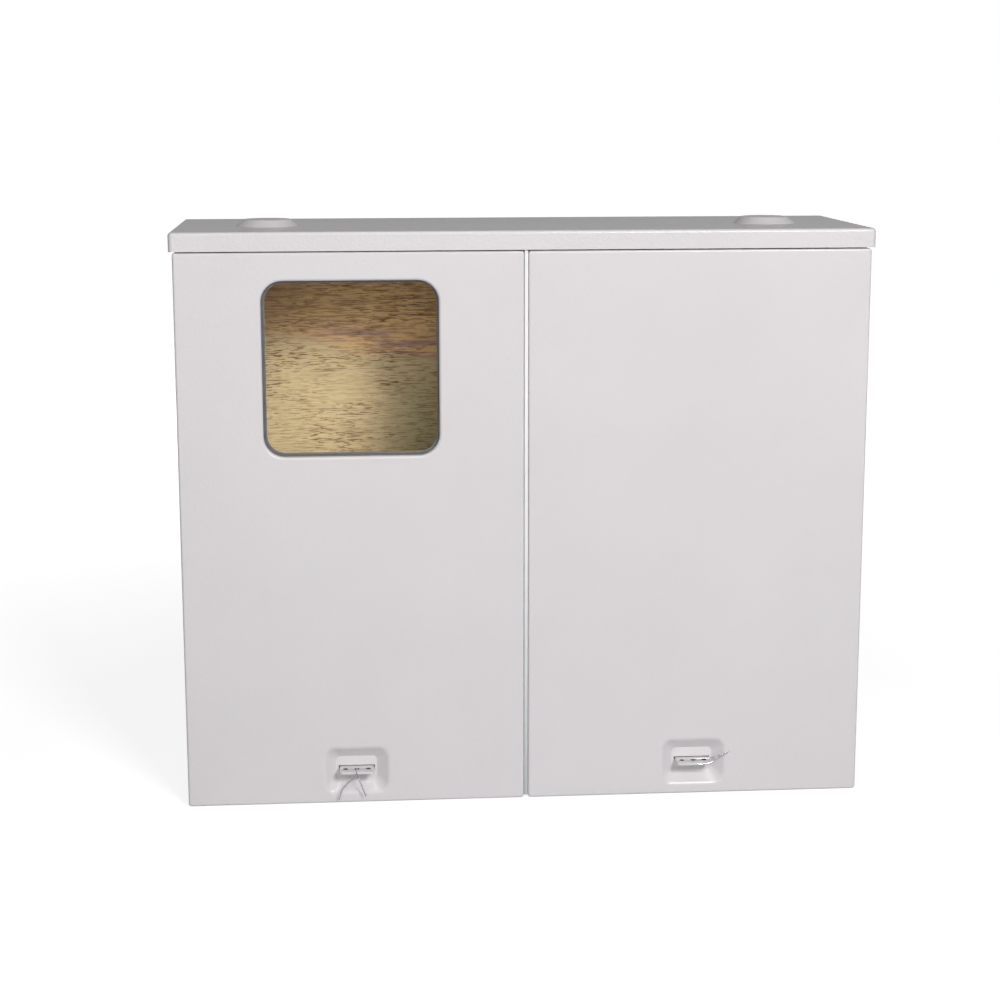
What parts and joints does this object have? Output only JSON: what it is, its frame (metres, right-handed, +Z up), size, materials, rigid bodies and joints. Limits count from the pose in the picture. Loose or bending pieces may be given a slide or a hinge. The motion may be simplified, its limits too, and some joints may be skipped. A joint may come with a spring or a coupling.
{
  "type": "electric meter box",
  "caption": "Wall-mounted sheet-steel meter box with a rain hood, a windowed cover and a plain cover side by side, each sealed on a latch tongue.",
  "frame": {"origin": "middle of the box's footprint, on the plane that its bottom stands on", "axes": "+X to the right of someone facing the box, +Y towards the wall, +Z up"},
  "size_m": [0.6, 0.209, 0.5072],
  "materials": {
    "coat": "light warm grey powder coat with a fine orange-peel texture, satin",
    "mullion_coat": "white powder coat, satin",
    "rivet": "plain aluminium blind rivets",
    "zinc": "bright zinc plated steel",
    "galvanised": "galvanised sheet, dull",
    "brass_fitting": "plain brass, satin",
    "seal_wire": "galvanised steel wire, satin",
    "gasket": "dark grey rubber, matt",
    "pane": "clear, polished",
    "timber": "bare oiled timber with a level grain, darker in its upper third"
  },
  "bodies": {
    "box": {"case": "coat", "hood": "coat", "mullion": "mullion_coat", "mullion_rivets": "rivet", "left_pivot_pin": "zinc", "centre_pivot_pin": "zinc", "right_pivot_pin": "zinc", "left_tongue": "coat", "right_tongue": "coat", "tongue_rivets": "rivet", "left_seal_wire": "seal_wire", "right_seal_wire": "seal_wire", "meter_board": "timber", "lower_board_rail": "galvanised", "upper_board_rail": "galvanised", "board_screws": "zinc", "board_nuts": "zinc", "earth_stud": "zinc", "earth_washer": "brass_fitting", "earth_nut": "zinc"},
    "left_door": {"left_cover": "coat", "window_gasket": "gasket", "window_pane": "pane", "pane_retainer": "galvanised", "retainer_studs": "zinc", "retainer_nuts": "zinc"},
    "right_door": {"right_cover": "coat"}
  },
  "joints": [
    {"name": "left_cover_hinge", "type": "hinge", "parent": "box", "child": "left_door", "pos_m": [-0.14943, -0.08895, 0.4794], "axis": [-1, 0, 0], "range_deg": [0, 90], "deforming": ["left_seal_wire"]},
    {"name": "right_cover_hinge", "type": "hinge", "parent": "box", "child": "right_door", "pos_m": [0.14943, -0.08895, 0.4794], "axis": [-1, 0, 0], "range_deg": [0, 90], "deforming": ["right_seal_wire"]}
  ]
}
